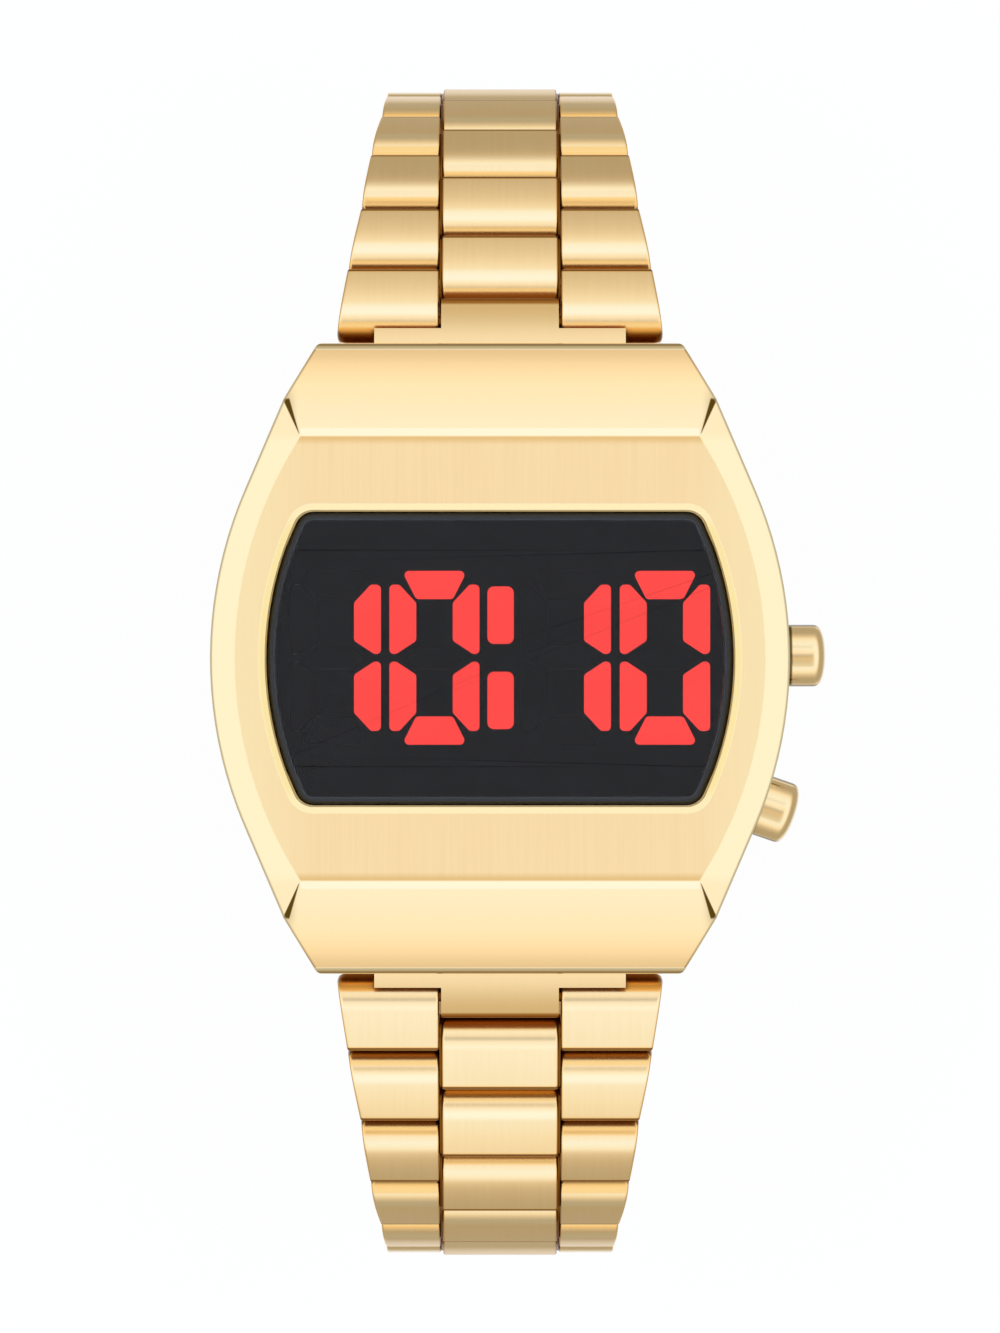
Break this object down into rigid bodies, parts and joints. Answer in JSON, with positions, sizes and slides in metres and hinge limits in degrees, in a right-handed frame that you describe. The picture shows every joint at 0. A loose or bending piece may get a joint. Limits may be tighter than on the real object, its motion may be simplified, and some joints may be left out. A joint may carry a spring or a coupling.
{
  "type": "led watch",
  "caption": "Gold-tone wristwatch with a red digital display behind dark glass, two push buttons, a jointed metal bracelet and a folding clasp.",
  "frame": {"origin": "centre of the outer face of the case back", "axes": "+X to 3 o'clock (the button side), +Y to 12 o'clock, +Z out of the dial"},
  "size_m": [0.0416, 0.0828, 0.0484],
  "materials": {
    "gold_case": "brushed top face, polished flanks",
    "gold_link": "satin with polished edges",
    "gold_button": "polished",
    "dark_glass": "polished, tinted",
    "black_mask": "matt black",
    "red_light": "lit red",
    "dark_bar": "unlit, near black",
    "board": "green resist",
    "holder": "moulded",
    "chip": "moulded",
    "steel": "satin",
    "cell": "plated",
    "spring_metal": "plain strip",
    "seal": "black"
  },
  "bodies": {
    "case": {"case_body": "gold_case", "crystal": "dark_glass", "crystal_gasket": "seal", "segment_mask": "black_mask", "lit_segments": "red_light", "unlit_segments": "dark_bar", "display_board": "board", "circuit_board": "board", "module_frame": "holder", "switch_contacts": "spring_metal", "control_chip": "chip", "quartz_can": "steel", "battery": "cell", "battery_strap": "steel", "case_back": "steel", "case_back_gasket": "seal", "case_back_screws": "steel", "pusher_tubes": "steel", "pusher_seals": "seal", "lug_spring_bars": "steel"},
    "upper_end_link": {"upper_end_link": "gold_link"},
    "upper_row_01": {"upper_row_01": "gold_link"},
    "upper_row_02": {"upper_row_02": "gold_link"},
    "upper_row_03": {"upper_row_03": "gold_link"},
    "upper_row_04": {"upper_row_04": "gold_link"},
    "upper_row_05": {"upper_row_05": "gold_link"},
    "upper_row_06": {"upper_row_06": "gold_link"},
    "upper_row_07": {"upper_row_07": "gold_link"},
    "upper_row_08": {"upper_row_08": "gold_link"},
    "upper_row_09": {"upper_row_09": "gold_link"},
    "upper_row_10": {"upper_row_10": "gold_link"},
    "upper_row_11": {"upper_row_11": "gold_link"},
    "upper_row_12": {"upper_row_12": "gold_link"},
    "lower_end_link": {"lower_end_link": "gold_link"},
    "lower_row_01": {"lower_row_01": "gold_link"},
    "lower_row_02": {"lower_row_02": "gold_link"},
    "lower_row_03": {"lower_row_03": "gold_link"},
    "lower_row_04": {"lower_row_04": "gold_link"},
    "lower_row_05": {"lower_row_05": "gold_link"},
    "lower_row_06": {"lower_row_06": "gold_link"},
    "lower_row_07": {"lower_row_07": "gold_link"},
    "lower_row_08": {"lower_row_08": "gold_link"},
    "lower_row_09": {"lower_row_09": "gold_link"},
    "lower_row_10": {"lower_row_10": "gold_link"},
    "lower_row_11": {"lower_row_11": "gold_link"},
    "lower_row_12": {"lower_row_12": "gold_link"},
    "clasp_cover": {"clasp_cover": "gold_link", "cover_spring_bar": "steel", "blade_hinge_pin": "steel"},
    "middle_blade": {"middle_blade": "gold_link"},
    "bottom_blade": {"bottom_blade": "gold_link", "fold_hinge_pin": "steel", "knuckle_spring_bar": "steel"},
    "upper_pusher": {"upper_pusher": "gold_button", "upper_pusher_clip": "steel", "upper_pusher_spring": "steel"},
    "lower_pusher": {"lower_pusher": "gold_button", "lower_pusher_clip": "steel", "lower_pusher_spring": "steel"}
  },
  "joints": [
    {"name": "upper_end_link_hinge", "type": "hinge", "parent": "case", "child": "upper_end_link", "pos_m": [0, 0.0196, 0.0043], "axis": [1, 0, 0], "range_deg": [0, 6]},
    {"name": "upper_row_01_hinge", "type": "hinge", "parent": "upper_end_link", "child": "upper_row_01", "pos_m": [0, 0.0229, 0.0036], "axis": [1, 0, 0], "range_deg": [0, 18.5]},
    {"name": "upper_row_02_hinge", "type": "hinge", "parent": "upper_row_01", "child": "upper_row_02", "pos_m": [0, 0.02727, 0.0006], "axis": [1, 0, 0], "range_deg": [0, 4]},
    {"name": "upper_row_03_hinge", "type": "hinge", "parent": "upper_row_02", "child": "upper_row_03", "pos_m": [0, 0.03153, -0.00255], "axis": [1, 0, 0], "range_deg": [0, 13.5]},
    {"name": "upper_row_04_hinge", "type": "hinge", "parent": "upper_row_03", "child": "upper_row_04", "pos_m": [0, 0.03507, -0.00649], "axis": [1, 0, 0], "range_deg": [0, 16]},
    {"name": "upper_row_05_hinge", "type": "hinge", "parent": "upper_row_04", "child": "upper_row_05", "pos_m": [0, 0.03756, -0.01117], "axis": [1, 0, 0], "range_deg": [0, 15.5]},
    {"name": "upper_row_06_hinge", "type": "hinge", "parent": "upper_row_05", "child": "upper_row_06", "pos_m": [0, 0.03889, -0.0163], "axis": [1, 0, 0], "range_deg": [0, 17]},
    {"name": "upper_row_07_hinge", "type": "hinge", "parent": "upper_row_06", "child": "upper_row_07", "pos_m": [0, 0.03884, -0.0216], "axis": [1, 0, 0], "range_deg": [0, 18]},
    {"name": "upper_row_08_hinge", "type": "hinge", "parent": "upper_row_07", "child": "upper_row_08", "pos_m": [0, 0.03734, -0.02669], "axis": [1, 0, 0], "range_deg": [0, 21]},
    {"name": "upper_row_09_hinge", "type": "hinge", "parent": "upper_row_08", "child": "upper_row_09", "pos_m": [0, 0.03426, -0.031], "axis": [1, 0, 0], "range_deg": [0, 21]},
    {"name": "upper_row_10_hinge", "type": "hinge", "parent": "upper_row_09", "child": "upper_row_10", "pos_m": [0, 0.02995, -0.03408], "axis": [1, 0, 0], "range_deg": [0, 18.5]},
    {"name": "upper_row_11_hinge", "type": "hinge", "parent": "upper_row_10", "child": "upper_row_11", "pos_m": [0, 0.02493, -0.0358], "axis": [1, 0, 0], "range_deg": [0, 13.12]},
    {"name": "upper_row_12_hinge", "type": "hinge", "parent": "upper_row_11", "child": "upper_row_12", "pos_m": [0, 0.01968, -0.03653], "axis": [1, 0, 0], "range_deg": [0, 9.88]},
    {"name": "lower_end_link_hinge", "type": "hinge", "parent": "case", "child": "lower_end_link", "pos_m": [0, -0.0196, 0.0043], "axis": [-1, 0, 0], "range_deg": [0, 4]},
    {"name": "lower_row_01_hinge", "type": "hinge", "parent": "lower_end_link", "child": "lower_row_01", "pos_m": [0, -0.0229, 0.0036], "axis": [-1, 0, 0], "range_deg": [0, 8.5]},
    {"name": "lower_row_02_hinge", "type": "hinge", "parent": "lower_row_01", "child": "lower_row_02", "pos_m": [0, -0.02786, 0.00174], "axis": [-1, 0, 0], "range_deg": [0, 9.5]},
    {"name": "lower_row_03_hinge", "type": "hinge", "parent": "lower_row_02", "child": "lower_row_03", "pos_m": [0, -0.03254, -0.00074], "axis": [-1, 0, 0], "range_deg": [0, 16]},
    {"name": "lower_row_04_hinge", "type": "hinge", "parent": "lower_row_03", "child": "lower_row_04", "pos_m": [0, -0.03648, -0.00429], "axis": [-1, 0, 0], "range_deg": [0, 20.5]},
    {"name": "lower_row_05_hinge", "type": "hinge", "parent": "lower_row_04", "child": "lower_row_05", "pos_m": [0, -0.03909, -0.0089], "axis": [-1, 0, 0], "range_deg": [0, 15.5]},
    {"name": "lower_row_06_hinge", "type": "hinge", "parent": "lower_row_05", "child": "lower_row_06", "pos_m": [0, -0.04055, -0.014], "axis": [-1, 0, 0], "range_deg": [0, 15.5]},
    {"name": "lower_row_07_hinge", "type": "hinge", "parent": "lower_row_06", "child": "lower_row_07", "pos_m": [0, -0.04078, -0.01929], "axis": [-1, 0, 0], "range_deg": [0, 16]},
    {"name": "lower_row_08_hinge", "type": "hinge", "parent": "lower_row_07", "child": "lower_row_08", "pos_m": [0, -0.03973, -0.02449], "axis": [-1, 0, 0], "range_deg": [0, 18]},
    {"name": "lower_row_09_hinge", "type": "hinge", "parent": "lower_row_08", "child": "lower_row_09", "pos_m": [0, -0.03728, -0.02919], "axis": [-1, 0, 0], "range_deg": [0, 19.5]},
    {"name": "lower_row_10_hinge", "type": "hinge", "parent": "lower_row_09", "child": "lower_row_10", "pos_m": [0, -0.03353, -0.03294], "axis": [-1, 0, 0], "range_deg": [0, 19.5]},
    {"name": "lower_row_11_hinge", "type": "hinge", "parent": "lower_row_10", "child": "lower_row_11", "pos_m": [0, -0.02883, -0.03538], "axis": [-1, 0, 0], "range_deg": [0, 17]},
    {"name": "lower_row_12_hinge", "type": "hinge", "parent": "lower_row_11", "child": "lower_row_12", "pos_m": [0, -0.02366, -0.03653], "axis": [-1, 0, 0], "range_deg": [0, 14.5]},
    {"name": "clasp_cover_hinge", "type": "hinge", "parent": "lower_row_12", "child": "clasp_cover", "pos_m": [0, -0.01836, -0.03653], "axis": [-1, 0, 0], "range_deg": [0, 25]},
    {"name": "middle_blade_hinge", "type": "hinge", "parent": "clasp_cover", "child": "middle_blade", "pos_m": [0, 0.01186, -0.03683], "axis": [-1, 0, 0], "range_deg": [0, 95]},
    {"name": "bottom_blade_hinge", "type": "hinge", "parent": "middle_blade", "child": "bottom_blade", "pos_m": [0, -0.01406, -0.03603], "axis": [1, 0, 0], "range_deg": [0, 130]},
    {"name": "upper_pusher_slide", "type": "slide", "parent": "case", "child": "upper_pusher", "axis": [-1, 0, 0], "range_m": [0, 0.0007], "stiffness_N_per_m": 2000, "springref_m": -0.0005, "deforming": ["upper_pusher_spring"]},
    {"name": "lower_pusher_slide", "type": "slide", "parent": "case", "child": "lower_pusher", "axis": [-0.9455, 0.3256, 0], "range_m": [0, 0.0007], "stiffness_N_per_m": 2000, "springref_m": -0.0005, "deforming": ["lower_pusher_spring"]}
  ]
}
